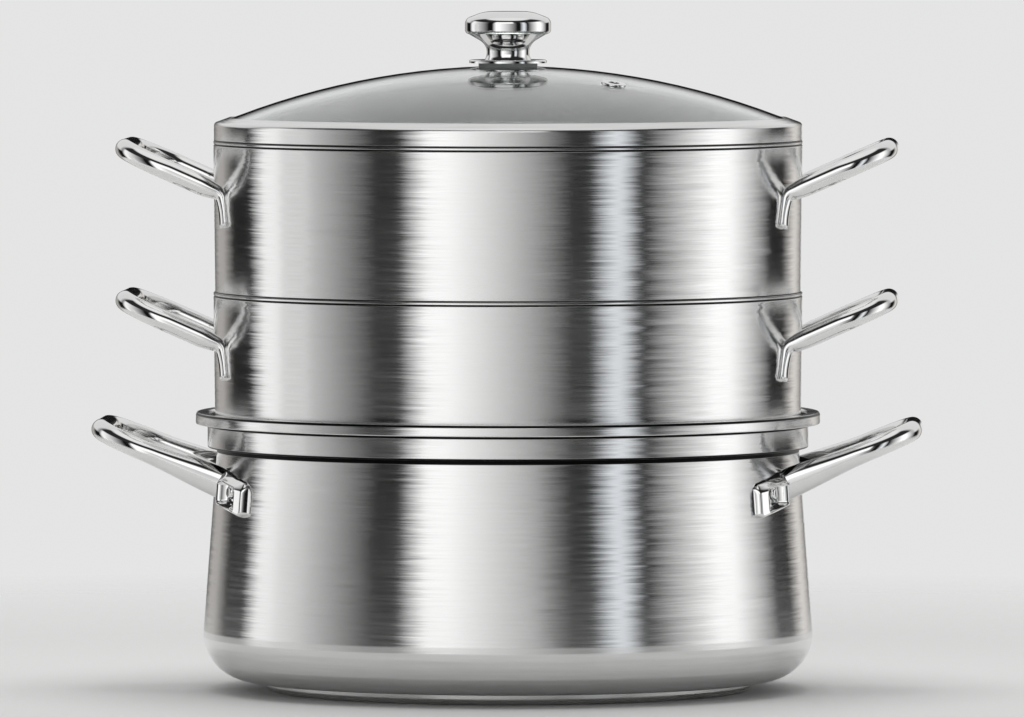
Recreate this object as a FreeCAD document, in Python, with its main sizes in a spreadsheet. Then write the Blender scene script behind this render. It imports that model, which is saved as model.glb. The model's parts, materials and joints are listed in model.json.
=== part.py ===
"""A two-tier steamer pot: pot, two stacking tiers with loose steam plates, and a glass lid.

The frame stands on the middle of the pot's base: +Z is up and the handles point along +X and -X.
"""
import FreeCAD
import Part
import Sketcher

import math
import os

from FreeCAD import Placement, Rotation, Vector

doc = FreeCAD.newDocument("steamer_pot")
sheet = doc.addObject("Spreadsheet::Sheet", "Sizes")

# Driving dimensions in millimetres and degrees.
DIMENSIONS = {
    # Steamer tiers: the rim's outside sets the width of the whole stack.
    "tier_radius": 140.2,
    "tier_taper": 0.8,
    "tier_height": 72.0,
    "tier_wall": 0.7,
    "tier_hem_height": 1.75,
    "tier_hem_thickness": 2.3,
    "tier_hem_round": 0.5,
    "tier_groove": 0.35,
    "tier_neck_depth": 8.0,
    "tier_neck_clearance": 0.8,
    "tier_ledge_width": 5.5,
    # Pot: the mouth steps out so that the lower tier drops onto a ledge.
    "pot_height": 132.0,
    "pot_wall": 0.8,
    "pot_waist_clearance": 0.65,
    "pot_flare": 8.25,
    "pot_corner": 22.0,
    "pot_floor_rise": 8.5,
    "pot_ledge_depth": 14.5,
    "pot_ledge_thickness": 1.9,
    "pot_mouth_gap": 2.9,
    "pot_step_round": 1.2,
    "pot_rim_width": 5.6,
    "pot_rim_drop": 5.4,
    "pot_rim_round": 2.4,
    # Heat-spreading base under the pot.
    "base_core_inset": 9.8,
    "base_core_thickness": 4.0,
    "base_cap_wall": 0.9,
    "base_cap_round": 1.8,
    "base_core_clearance": 0.1,
    # Loose perforated plates that carry the food.
    "plate_thickness": 1.0,
    "plate_clearance": 0.6,
    "plate_edge_round": 0.4,
    "plate_finger_hole": 20.0,
    "plate_hole": 6.0,
    "plate_edge_margin": 17.8,
    # Tier handles: bent tube whose flattened ends are welded to the wall.
    "tier_tube_radius": 4.75,
    "tier_handle_overhang": 40.8,
    "tier_handle_half_width": 44.0,
    "tier_handle_corner": 24.0,
    "tier_handle_tip_drop": 3.7,
    "tier_handle_bend_drop": 24.5,
    "tier_handle_foot_drop": 40.0,
    "tier_handle_bend": 7.0,
    "tier_leg_half_width": 3.6,
    "tier_leg_half_thickness": 1.5,
    "tier_leg_sink": 0.4,
    "tier_foot_spread": 5.0,
    "tier_form_start": 6.0,
    "tier_form_length": 24.0,
    # Pot handles: bent tube with pressed feet that lie along the wall.
    "pot_tube_radius": 4.85,
    "pot_handle_overhang": 45.7,
    "pot_handle_half_width": 46.0,
    "pot_handle_corner": 27.0,
    "pot_handle_tip_drop": 6.7,
    "pot_handle_root_drop": 31.5,
    "pot_root_half_height": 6.2,
    "pot_root_half_width": 4.5,
    "pot_root_length": 28.0,
    "pot_root_depth": 9.0,
    "foot_offset": 11.8,
    "foot_drop": 34.9,
    "foot_length": 37.0,
    "foot_height": 15.0,
    "foot_slope": 8.1,
    "foot_thickness": 4.0,
    "foot_round": 3.5,
    "pocket_offset": 3.0,
    "pocket_length": 13.0,
    "pocket_height": 9.5,
    "pocket_floor": 1.6,
    "pocket_round": 2.0,
    # One rivet through each pot handle foot.
    "rivet_shank_radius": 2.0,
    "rivet_head_radius": 3.2,
    "rivet_head_height": 1.7,
    "rivet_inner_radius": 4.2,
    "rivet_inner_height": 1.2,
    "rivet_clearance": 0.12,
    # Lid: glass dome held by a steel band over a seal.
    "lid_inset": 0.2,
    "lid_wall": 0.7,
    "lid_neck_depth": 6.0,
    "lid_lip_width": 7.5,
    "lid_lip_clearance": 0.15,
    "lid_round": 2.0,
    "seal_base": 2.8,
    "seal_side": 0.9,
    "seal_height": 5.0,
    "seal_clearance": 0.1,
    "glass_dome_radius": 361.0,
    "glass_thickness": 4.0,
    "vent_distance": 74.0,
    "vent_angle": -45.0,
    "vent_bore": 2.6,
    "vent_tube_radius": 3.8,
    "vent_flange_radius": 6.0,
    "vent_flange": 0.8,
    "vent_clearance": 0.08,
    # Lid knob, its boss, collar, washers and screw.
    "knob_height": 23.0,
    "knob_radius": 20.5,
    "knob_foot_radius": 11.0,
    "knob_waist_radius": 8.5,
    "knob_cap_height": 10.5,
    "knob_wall": 1.2,
    "boss_radius": 5.5,
    "collar_radius": 18.5,
    "collar_thickness": 1.6,
    "washer_radius": 14.0,
    "washer_thickness": 1.4,
    "screw_radius": 2.0,
    "screw_clearance": 0.15,
    "screw_reach": 13.0,
    "screw_head_radius": 4.0,
    "screw_head_height": 2.4,
    "under_washer_radius": 9.0,
    "under_washer_thickness": 1.3,
    "screw_washer_radius": 7.0,
    "screw_washer_thickness": 1.0,
}

# Rings of steam holes in each plate, outwards from the middle; each has six more holes than the last.
PLATE_RINGS = 6
# Stations along each formed stretch of a handle leg.
LEG_STEPS = 6
# Bodies may not share a surface, so pieces welded to a wall stop this far from it.
WELD_GAP = 0.02
# A cutting tool runs this far past the piece that it cuts.
CUT_OVERRUN = 1.0


class Size:
    """A number of millimetres or degrees together with the sheet expression that gives it."""

    def __init__(self, value, text):
        self.value = value
        self.text = text

    @staticmethod
    def of(number):
        return number if isinstance(number, Size) else Size(number, repr(number))

    def joined(self, sign, other, value):
        return Size(value, f"({self.text} {sign} {Size.of(other).text})")

    def __add__(self, other):
        return self.joined("+", other, self.value + Size.of(other).value)

    def __sub__(self, other):
        return self.joined("-", other, self.value - Size.of(other).value)

    def __mul__(self, other):
        return self.joined("*", other, self.value * Size.of(other).value)

    def __truediv__(self, other):
        return self.joined("/", other, self.value / Size.of(other).value)

    def root(self):
        return Size(math.sqrt(self.value), f"sqrt({self.text})")


class SizeBook:
    """The sheet's driving dimensions, each as an attribute of the same name."""

    def __init__(self, dimensions):
        for row, (name, value) in enumerate(dimensions.items(), start=1):
            sheet.set(f"A{row}", name)
            sheet.set(f"B{row}", str(value))
            sheet.setAlias(f"B{row}", name)
            setattr(self, name, Size(value, f"Sizes.{name}"))
        doc.recompute()


size = SizeBook(DIMENSIONS)

# Sizes that follow from the driving ones.
hem_inner = size.tier_radius - size.tier_hem_thickness
neck_outer = hem_inner - size.tier_neck_clearance
neck_inner = neck_outer - size.tier_wall
tier_foot = size.tier_radius - size.tier_taper
tier_rim_z = size.tier_neck_depth + size.tier_height
shell_floor = size.base_cap_wall + size.base_core_thickness
ledge_z = size.pot_height - size.pot_ledge_depth
body_top_z = ledge_z - size.pot_ledge_thickness
floor_edge_z = shell_floor + size.pot_floor_rise
waist_outer = neck_outer + size.pot_waist_clearance + size.pot_wall
belly_outer = waist_outer + size.pot_flare
mouth_inner = tier_foot + size.pot_mouth_gap
mouth_outer = mouth_inner + size.pot_wall
rim_outer = mouth_outer + size.pot_rim_width
base_core_radius = belly_outer - size.pot_corner - size.base_core_inset
tier_handle_reach = size.tier_radius + size.tier_handle_overhang
pot_handle_reach = belly_outer + size.pot_handle_overhang
pot_wall_height = body_top_z - shell_floor
rivet_drop = size.foot_drop + size.pocket_offset * size.foot_slope / size.foot_length
lower_tier_z = ledge_z - size.tier_neck_depth
upper_tier_z = lower_tier_z + size.tier_height
lid_z = upper_tier_z + tier_rim_z - size.lid_neck_depth


def bind(thing, **sizes):
    """Ties properties of a document object to sheet expressions."""
    for name, value in sizes.items():
        thing.setExpression(name, Size.of(value).text)
    return thing


def lift(thing, height):
    """Raises a piece to a height that the sheet gives."""
    thing.setExpression("Placement.Base.z", Size.of(height).text)
    return thing


def primitive(kind, name, **sizes):
    return bind(doc.addObject(f"Part::{kind}", name), **sizes)


def cut(name, base, tool):
    result = doc.addObject("Part::Cut", name)
    result.Base = base
    result.Tool = tool
    return result


def common(name, base, tool):
    result = doc.addObject("Part::Common", name)
    result.Base = base
    result.Tool = tool
    return result


def origin_plane(body, role):
    return next(plane for plane in body.Origin.OriginFeatures if plane.Role == role)


def flat(point):
    """A corner as a plain vector in the sketch."""
    return Vector(Size.of(point[0]).value, Size.of(point[1]).value, 0)


def outline_sketch(body, name, plane, corners):
    """A closed outline of straight sides; a corner is (x, y) or, when rounded, (x, y, radius)."""
    sketch = body.newObject("Sketcher::SketchObject", name)
    sketch.AttachmentSupport = [(origin_plane(body, plane), "")]
    sketch.MapMode = "FlatFace"
    points = [flat(corner) for corner in corners]
    count = len(corners)
    entries = []
    exits = []
    arcs = []
    for index, corner in enumerate(corners):
        here = points[index]
        radius = Size.of(corner[2]).value if len(corner) == 3 else 0
        back = (points[index - 1] - here).normalize()
        ahead = (points[(index + 1) % count] - here).normalize()
        setback = radius / math.tan(back.getAngle(ahead) / 2)
        entries.append(here + back * setback)
        exits.append(here + ahead * setback)
        arcs.append(None)
        if radius:
            middle = here + (back + ahead).normalize() * math.hypot(setback, radius)
            left_turn = (here - points[index - 1]).cross(points[(index + 1) % count] - here).z > 0
            start, end = (entries[-1], exits[-1]) if left_turn else (exits[-1], entries[-1])
            angles = [math.atan2(end_point.y - middle.y, end_point.x - middle.x) for end_point in (start, end)]
            circle = Part.Circle(middle, Vector(0, 0, 1), radius)
            arcs[-1] = (Part.ArcOfCircle(circle, *angles), left_turn)
    for index in range(count):
        sketch.addGeometry(Part.LineSegment(exits[index], entries[(index + 1) % count]), False)
    bound = []
    for index, corner in enumerate(corners):
        before = (index - 1) % count
        if arcs[index] is None:
            sketch.addConstraint(Sketcher.Constraint("Coincident", before, 2, index, 1))
            marked = (index, 1)
        else:
            arc, left_turn = arcs[index]
            bend = sketch.addGeometry(arc, False)
            mark = sketch.addGeometry(Part.Point(points[index]), True)
            first, last = (1, 2) if left_turn else (2, 1)
            sketch.addConstraint(Sketcher.Constraint("Tangent", before, 2, bend, first))
            sketch.addConstraint(Sketcher.Constraint("Tangent", bend, last, index, 1))
            sketch.addConstraint(Sketcher.Constraint("PointOnObject", mark, 1, before))
            sketch.addConstraint(Sketcher.Constraint("PointOnObject", mark, 1, index))
            radius = Size.of(corner[2])
            bound.append((sketch.addConstraint(Sketcher.Constraint("Radius", bend, radius.value)), radius))
            marked = (mark, 1)
        for way, axis, value in (("DistanceX", -2, corner[0]), ("DistanceY", -1, corner[1])):
            value = Size.of(value)
            if value.value == 0:
                sketch.addConstraint(Sketcher.Constraint("PointOnObject", *marked, axis))
            else:
                constraint = Sketcher.Constraint(way, -1, 1, *marked, value.value)
                bound.append((sketch.addConstraint(constraint), value))
    for number, value in bound:
        sketch.setExpression(f"Constraints[{number}]", value.text)
    return sketch


def turned(label, corners):
    """A piece turned or spun on the Z axis: the outline is in (radius, height)."""
    body = doc.addObject("PartDesign::Body", label)
    sketch = outline_sketch(body, f"{label}_outline", "XZ_Plane", corners)
    spin = body.newObject("PartDesign::Revolution", f"{label}_spin")
    spin.Profile = sketch
    spin.ReferenceAxis = (sketch, ["V_Axis"])
    spin.Angle = 360
    return body


def bent_run(points, radius, steps):
    """Stations (place, direction) along two straight runs joined by an arc at the middle point."""
    start, corner, end = points
    way_in = (corner - start).normalize()
    way_out = (end - corner).normalize()
    turn = way_in.getAngle(way_out)
    axis = way_in.cross(way_out).normalize()
    arc_start = corner - way_in * (radius * math.tan(turn / 2))
    centre = arc_start + axis.cross(way_in) * radius
    stations = [(start, way_in)]
    for step in range(steps + 1):
        spin = Rotation(axis, math.degrees(turn) * step / steps)
        stations.append((centre + spin.multVec(arc_start - centre), spin.multVec(way_in)))
    last = stations[-1][0]
    for step in range(1, steps + 1):
        stations.append((last + (end - last) * (step / steps), way_out))
    return stations


def eased(share):
    """A share between 0 and 1 with level ends."""
    share = min(max(share, 0.0), 1.0)
    return share * share * (3 - 2 * share)


def formed_leg(name, stations, wide_ways, wide, thin):
    """The formed end of a handle tube: ellipses square to its run, their long axes along the wide ways."""
    sections = []
    for number, ((place, way), wide_way) in enumerate(zip(stations, wide_ways)):
        long_half = wide[number].value
        ellipse = Part.Ellipse(Vector(), long_half, min(thin[number].value, long_half))
        ellipse.transform(Placement(place, Rotation(wide_way, way.cross(wide_way), way, "XYZ")).toMatrix())
        halves = [Part.Arc(ellipse, 0, math.pi), Part.Arc(ellipse, math.pi, 2 * math.pi)]
        sections.append([half.toShape() for half in halves])
    faces = [Part.Face(Part.Wire(section)) for section in (sections[0], sections[-1])]
    for section, following in zip(sections, sections[1:]):
        faces += [Part.makeRuledSurface(edge, ahead) for edge, ahead in zip(section, following)]
    shell = Part.makeShell(faces)
    shell.sewShape()
    solid = Part.makeSolid(shell)
    leg = doc.addObject("Part::Feature", name)
    leg.Shape = solid if solid.Volume > 0 else solid.reversed()
    return leg


def grip_frame(low, tip):
    """A frame at the middle of a grip, its X axis along the rise from the low end of the leg."""
    rise = Vector(tip.x - low.x, 0, tip.z - low.z).normalize()
    across = Vector(0, 1, 0)
    return Placement(Vector(tip.x, 0, tip.z), Rotation(rise, across, rise.cross(across), "XYZ"))


def grip(name, frame, half_width, corner, radius):
    """The round part of a handle tube: a straight grip between two quarter bends."""
    straight = half_width - corner
    bar = primitive("Cylinder", f"{name}_grip", Radius=radius, Height=straight * 2)
    bar.Placement = frame.multiply(Placement(Vector(0, straight.value, 0), Rotation(Vector(1, 0, 0), 90)))
    pieces = [bar]
    for front, start_angle in ((-1, -90), (1, 0)):
        bend = primitive("Torus", f"{name}_bend_{len(pieces)}", Radius1=corner, Radius2=radius)
        bend.Angle3 = 90
        centre = Vector(-corner.value, front * straight.value, 0)
        bend.Placement = frame.multiply(Placement(centre, Rotation(Vector(0, 0, 1), start_angle)))
        pieces.append(bend)
    return pieces


def mirrored(point):
    """The same point or direction on the other leg of a handle."""
    return Vector(point.x, -point.y, point.z)


def handle_tube(name, side, frame, legs, half_width, corner, radius):
    """Joins a grip and its two formed legs, all described for a handle that points along +X."""
    turn = Placement(Vector(), Rotation(Vector(0, 0, 1), SIDES[side]))
    pieces = grip(name, frame, half_width, corner, radius) + legs
    for piece in pieces:
        piece.Placement = turn.multiply(piece.Placement)
    return pieces


# The side that a handle points to, as a turn about the Z axis.
SIDES = {"right": 0.0, "left": 180.0}


def pot_pressing(name):
    """Pressed pot body: flat floor, wide rounded corner and a flared wall."""
    wall = size.pot_wall
    return turned(name, [
        (0, shell_floor),
        (belly_outer, shell_floor, size.pot_corner),
        (waist_outer, body_top_z),
        (waist_outer - wall, body_top_z),
        (belly_outer - wall, shell_floor + wall, size.pot_corner - wall),
        (0, shell_floor + wall),
    ])


def pot_body(holes):
    """The pot body in two pieces that meet low in the rounded corner: the wall and the dished floor."""
    low = primitive("Cylinder", "pot_wall_trim", Radius=rim_outer, Height=floor_edge_z + WELD_GAP)
    wall = cut("pot_wall_pressing", pot_pressing("pot_upper_pressing"), low)
    cut("pot_shell", wall, holes)
    high = primitive("Cylinder", "pot_floor_trim", Radius=rim_outer, Height=floor_edge_z)
    common("pot_floor", pot_pressing("pot_lower_pressing"), high)


def pot_collar():
    """Mouth ring on the pot body: a ledge for the tier, the stepped mouth and a rim rolled outwards."""
    wall = size.pot_wall
    seam = body_top_z + WELD_GAP
    turned("pot_collar", [
        (waist_outer - wall, seam),
        (mouth_outer, seam, size.pot_step_round),
        (mouth_outer, size.pot_height - wall, wall),
        (rim_outer - wall, size.pot_height - wall, size.pot_rim_round - wall),
        (rim_outer - wall, size.pot_height - size.pot_rim_drop),
        (rim_outer, size.pot_height - size.pot_rim_drop),
        (rim_outer, size.pot_height, size.pot_rim_round),
        (mouth_inner, size.pot_height, wall * 2),
        (mouth_inner, ledge_z, size.pot_step_round - wall),
        (waist_outer - wall, ledge_z),
    ])


def pot_base():
    """Aluminium heat spreader and the steel cap that closes it in."""
    turned("pot_base_core", [
        (0, size.base_cap_wall),
        (base_core_radius, size.base_cap_wall, size.base_cap_round),
        (base_core_radius, shell_floor),
        (0, shell_floor),
    ])
    cap_inner = base_core_radius + size.base_core_clearance
    turned("pot_base_cap", [
        (0, 0),
        (cap_inner + size.base_cap_wall, 0, size.base_cap_round + size.base_cap_wall),
        (cap_inner + size.base_cap_wall, shell_floor),
        (cap_inner, shell_floor),
        (cap_inner, size.base_cap_wall, size.base_cap_round),
        (0, size.base_cap_wall),
    ])


def wall_form(name, extra):
    """The pot body's outside, grown by a thickness, as a plain cone."""
    form = primitive(
        "Cone", name, Radius1=belly_outer + extra, Radius2=waist_outer + extra, Height=pot_wall_height)
    return lift(form, shell_floor)


def pot_wall_radius(drop):
    """Outside radius of the pot wall at a drop below its rim."""
    up = size.pot_height - drop - shell_floor
    return belly_outer - size.pot_flare * up / pot_wall_height


def foot_block(name, front, middle, length, height, rounding):
    """A block that a handle foot or its pocket is cut from; it falls away from the handle's middle."""
    body = doc.addObject("PartDesign::Body", name)
    fall = size.foot_slope / size.foot_length
    near = middle - length / 2
    far = middle + length / 2
    half_height = height / 2
    near_z = near * fall * -1
    far_z = far * fall * -1
    sketch = outline_sketch(body, f"{name}_outline", "YZ_Plane", [
        (near * front, near_z - half_height, rounding),
        (far * front, far_z - half_height, rounding),
        (far * front, far_z + half_height, rounding),
        (near * front, near_z + half_height, rounding),
    ])
    block = body.newObject("PartDesign::Pad", f"{name}_block")
    block.Profile = sketch
    bind(block, Length=rim_outer)
    return body


def ride_foot(piece, side, front, along=0.0):
    """Turns a piece made on the X axis to a handle foot, some way along it from its middle."""
    wall = pot_wall_radius(size.foot_drop).value
    root_angle = math.asin(size.pot_handle_half_width.value / wall)
    angle = math.degrees(root_angle + (size.foot_offset.value + along) / wall)
    fall = along * size.foot_slope.value / size.foot_length.value
    height = size.pot_height.value - size.foot_drop.value - fall
    turn = Rotation(Vector(0, 0, 1), SIDES[side] + front * angle)
    piece.Placement = Placement(Vector(0, 0, height), turn)
    return piece


def blend(first, last, share):
    """A size part of the way from one size to another."""
    return first + (last - first) * share


def pot_handle_legs(name, frame, root):
    """Both legs of a pot handle: the round tube grows tall and thin towards the wall."""
    corner_start = frame.multVec(
        Vector(-size.pot_handle_corner.value, size.pot_handle_half_width.value, 0))
    way = (corner_start - root).normalize()
    upright = frame.Rotation.multVec(Vector(0, 0, 1))
    runs = [0.0]
    shares = [0.0]
    for step in range(LEG_STEPS + 1):
        runs.append(size.pot_root_depth.value + size.pot_root_length.value * step / LEG_STEPS)
        shares.append(eased(step / LEG_STEPS))
    stations = [(root + way * run, way) for run in runs] + [(corner_start, way)]
    shares.append(1.0)
    tall = [blend(size.pot_root_half_height, size.pot_tube_radius, share) for share in shares]
    thin = [blend(size.pot_root_half_width, size.pot_tube_radius, share) for share in shares]
    opposite = [(mirrored(place), mirrored(way)) for place, way in stations]
    uprights = [upright] * len(stations)
    return [
        formed_leg(f"{name}_back_leg", stations, uprights, tall, thin),
        formed_leg(f"{name}_front_leg", opposite, uprights, tall, thin),
    ]


def pot_handle(side, forms):
    """Tube loop that rises outwards from two pressed feet, each with a pocket for its rivet."""
    name = f"pot_handle_{side}"
    rim = size.pot_height.value
    half_width = size.pot_handle_half_width.value
    wall_x = math.sqrt(pot_wall_radius(size.foot_drop).value ** 2 - half_width ** 2)
    root = Vector(wall_x, half_width, rim - size.pot_handle_root_drop.value)
    tip = Vector(pot_handle_reach.value, half_width, rim - size.pot_handle_tip_drop.value)
    root = root - (tip - root).normalize() * size.pot_root_depth.value
    frame = grip_frame(root, tip)
    pieces = handle_tube(
        name, side, frame, pot_handle_legs(name, frame, root),
        size.pot_handle_half_width, size.pot_handle_corner, size.pot_tube_radius)
    pockets = []
    for front, leg in ((-1, "front"), (1, "back")):
        block = foot_block(
            f"{name}_{leg}_foot", front, Size.of(0.0), size.foot_length, size.foot_height, size.foot_round)
        pieces.append(common(f"{name}_{leg}_pad", ride_foot(block, side, front), forms["foot"]))
        hollow = foot_block(
            f"{name}_{leg}_pocket", front, size.pocket_offset, size.pocket_length, size.pocket_height,
            size.pocket_round)
        pockets.append(ride_foot(hollow, side, front))
    joined = doc.addObject("Part::MultiFuse", f"{name}_joined")
    joined.Shapes = pieces
    trimmed = cut(f"{name}_trimmed", joined, forms["wall"])
    hollows = doc.addObject("Part::MultiFuse", f"{name}_hollows")
    hollows.Shapes = pockets
    pocketed = cut(f"{name}_pocketed", trimmed, cut(f"{name}_hollowing", hollows, forms["pocket"]))
    return cut(name, pocketed, forms["rivet_holes"])


def rivet(name):
    """A rivet on the X axis: domed head in the foot's pocket, flat head inside the pot."""
    seat = pot_wall_radius(rivet_drop) + size.pocket_floor + size.rivet_clearance
    inside = pot_wall_radius(rivet_drop) - size.pot_wall - size.rivet_clearance
    body = doc.addObject("PartDesign::Body", name)
    head_round = size.rivet_head_height * 0.8
    sketch = outline_sketch(body, f"{name}_outline", "XY_Plane", [
        (inside - size.rivet_inner_height, 0),
        (seat + size.rivet_head_height, 0),
        (seat + size.rivet_head_height, size.rivet_head_radius, head_round),
        (seat, size.rivet_head_radius),
        (seat, size.rivet_shank_radius),
        (inside, size.rivet_shank_radius),
        (inside, size.rivet_inner_radius),
        (inside - size.rivet_inner_height, size.rivet_inner_radius, size.rivet_inner_height * 0.6),
    ])
    spin = body.newObject("PartDesign::Revolution", f"{name}_spin")
    spin.Profile = sketch
    spin.ReferenceAxis = (sketch, ["H_Axis"])
    spin.Angle = 360
    return body


def pot_rivets():
    """The four handle rivets, square to the flared wall, and the holes drilled for them."""
    lean = math.degrees(math.atan2(size.pot_flare.value, pot_wall_height.value))
    wall_point = Vector(pot_wall_radius(rivet_drop).value, 0, 0)
    squared = Placement(Vector(), Rotation(Vector(0, 1, 0), -lean), wall_point)
    rivets = []
    drills = []
    for side in SIDES:
        for front in (-1, 1):
            number = len(rivets) + 1
            pin = ride_foot(rivet(f"pot_rivet_{number}"), side, front, size.pocket_offset.value)
            pin.Placement = pin.Placement.multiply(squared)
            rivets.append(pin)
            drill = primitive(
                "Cylinder", f"pot_rivet_drill_{number}",
                Radius=size.rivet_shank_radius + size.rivet_clearance, Height=rim_outer)
            ride_foot(drill, side, front, size.pocket_offset.value)
            along_x = Placement(Vector(), Rotation(Vector(0, 1, 0), 90))
            drill.Placement = drill.Placement.multiply(squared).multiply(along_x)
            drills.append(drill)
    group = doc.addObject("Part::Compound", "pot_handle_rivets")
    group.Links = rivets
    holes = doc.addObject("Part::MultiFuse", "pot_rivet_holes")
    holes.Shapes = drills
    return holes


def pot():
    holes = pot_rivets()
    pot_body(holes)
    pot_collar()
    pot_base()
    forms = {
        "wall": wall_form("pot_wall_form", WELD_GAP),
        "pocket": wall_form("pot_pocket_form", size.pocket_floor),
        "foot": wall_form("pot_foot_form", size.foot_thickness),
        "rivet_holes": holes,
    }
    for side in SIDES:
        pot_handle(side, forms)


def tier_shell(label, height):
    """Straight tier: nesting neck, seat shoulder and hemmed rim."""
    wall = size.tier_wall
    seat = size.tier_neck_depth
    hem = tier_rim_z - size.tier_hem_height
    return lift(turned(label, [
        (neck_inner, 0),
        (neck_outer, 0, wall * 0.5),
        (neck_outer, seat, wall * 0.5),
        (tier_foot, seat, wall * 0.7),
        (size.tier_radius, hem - size.tier_groove),
        (size.tier_radius - size.tier_groove, hem),
        (size.tier_radius, hem + size.tier_groove),
        (size.tier_radius, tier_rim_z, size.tier_hem_round),
        (hem_inner, tier_rim_z, size.tier_hem_round),
        (hem_inner, hem),
        (size.tier_radius - wall, hem - size.tier_hem_thickness / 2),
        (tier_foot - wall, seat + wall, wall * 0.7),
        (neck_inner, seat + wall, wall * 0.7),
    ]), height)


def tier_ledge(label, height):
    """Flat ring welded into the foot of the neck; the loose plate lies on it."""
    inner = neck_inner - size.tier_ledge_width
    outer = neck_inner - WELD_GAP
    return lift(turned(label, [
        (inner, 0),
        (outer, 0),
        (outer, size.tier_wall),
        (inner, size.tier_wall, size.tier_wall * 0.5),
    ]), height)


def tier_wall_radius(drop):
    """Outside radius of a tier's wall at a drop below its rim."""
    return size.tier_radius - size.tier_taper * drop / size.tier_height


def tier_handle_legs(label, frame, foot, bend):
    """Both legs of a tier handle: flattened on the wall, bent, then opening out to the round tube."""
    corner_start = frame.multVec(
        Vector(-size.tier_handle_corner.value, size.tier_handle_half_width.value, 0))
    stations = bent_run([foot, bend, corner_start], size.tier_handle_bend.value, LEG_STEPS)
    outwards = Vector(foot.x, foot.y, 0).normalize()
    wide_ways = []
    shares = []
    run = 0.0
    last = foot
    for place, way in stations:
        run += place.distanceToPoint(last)
        last = place
        share = eased((run - size.tier_form_start.value) / size.tier_form_length.value)
        wide_way = way.cross(outwards).normalize() * (1 - share) + Vector(0, share, 0)
        wide_ways.append((wide_way - way * wide_way.dot(way)).normalize())
        shares.append(share)
    wide = [blend(size.tier_leg_half_width, size.tier_tube_radius, share) for share in shares]
    thin = [blend(size.tier_leg_half_thickness, size.tier_tube_radius, share) for share in shares]
    opposite = [(mirrored(place), mirrored(way)) for place, way in stations]
    return [
        formed_leg(f"{label}_back_leg", stations, wide_ways, wide, thin),
        formed_leg(f"{label}_front_leg", opposite, [mirrored(way) for way in wide_ways], wide, thin),
    ]


def tier_handle(label, side, height):
    """Tube loop on a tier: flattened legs on the wall, then a bend and a rising grip."""
    rim = (height + tier_rim_z).value
    half_width = size.tier_handle_half_width.value
    wall_radius = tier_wall_radius(size.tier_handle_foot_drop).value
    leg_radius = wall_radius + size.tier_leg_half_thickness.value - size.tier_leg_sink.value
    foot_y = half_width + size.tier_foot_spread.value
    foot_x = math.sqrt(leg_radius ** 2 - foot_y ** 2)
    bend_x = math.sqrt(leg_radius ** 2 - half_width ** 2)
    foot = Vector(foot_x, foot_y, rim - size.tier_handle_foot_drop.value)
    bend = Vector(bend_x, half_width, rim - size.tier_handle_bend_drop.value)
    tip = Vector(tier_handle_reach.value, half_width, rim - size.tier_handle_tip_drop.value)
    frame = grip_frame(bend, tip)
    tube = doc.addObject("Part::MultiFuse", f"{label}_tube")
    tube.Shapes = handle_tube(
        label, side, frame, tier_handle_legs(label, frame, foot, bend),
        size.tier_handle_half_width, size.tier_handle_corner, size.tier_tube_radius)
    form = primitive(
        "Cone", f"{label}_wall_form",
        Radius1=tier_foot + WELD_GAP, Radius2=size.tier_radius + WELD_GAP,
        Height=size.tier_height - size.tier_hem_height - size.tier_groove)
    return cut(label, tube, lift(form, height + size.tier_neck_depth))


def steam_plate(label, height):
    """Loose flat plate on the tier's ledge: a finger hole in the middle and rings of steam holes."""
    outer = neck_inner - size.plate_clearance
    finger = size.plate_finger_hole / 2
    pitch = (outer - size.plate_edge_margin - finger) / PLATE_RINGS
    plate = turned(label, [
        (finger, 0),
        (outer, 0, size.plate_edge_round),
        (outer, size.plate_thickness, size.plate_edge_round),
        (finger, size.plate_thickness),
    ])
    doc.recompute()
    for ring in range(1, PLATE_RINGS + 1):
        sketch = plate.newObject("Sketcher::SketchObject", f"{label}_ring_{ring}")
        sketch.AttachmentSupport = [(origin_plane(plate, "XY_Plane"), "")]
        sketch.MapMode = "FlatFace"
        away = finger + pitch * ring
        radius = size.plate_hole / 2
        sketch.addGeometry(Part.Circle(Vector(away.value, 0, 0), Vector(0, 0, 1), radius.value), False)
        sketch.addConstraint(Sketcher.Constraint("PointOnObject", 0, 3, -1))
        wide = sketch.addConstraint(Sketcher.Constraint("Radius", 0, radius.value))
        offset = sketch.addConstraint(Sketcher.Constraint("DistanceX", -1, 1, 0, 3, away.value))
        sketch.setExpression(f"Constraints[{wide}]", radius.text)
        sketch.setExpression(f"Constraints[{offset}]", away.text)
        punch = plate.newObject("PartDesign::Pocket", f"{label}_punch_{ring}")
        punch.Profile = sketch
        punch.Type = "ThroughAll"
        punch.Midplane = True
        pattern = plate.newObject("PartDesign::PolarPattern", f"{label}_pattern_{ring}")
        pattern.Originals = [punch]
        pattern.Axis = (origin_plane(plate, "Z_Axis"), [""])
        pattern.Angle = 360
        pattern.Occurrences = 6 * ring + 6
        plate.Tip = pattern
    return lift(plate, height + size.tier_wall)


def tier(name, height):
    tier_shell(f"{name}_tier_shell", height)
    tier_ledge(f"{name}_tier_ledge", height)
    for side in SIDES:
        tier_handle(f"{name}_tier_handle_{side}", side, height)
    steam_plate(f"{name}_steam_plate", height)


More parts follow.
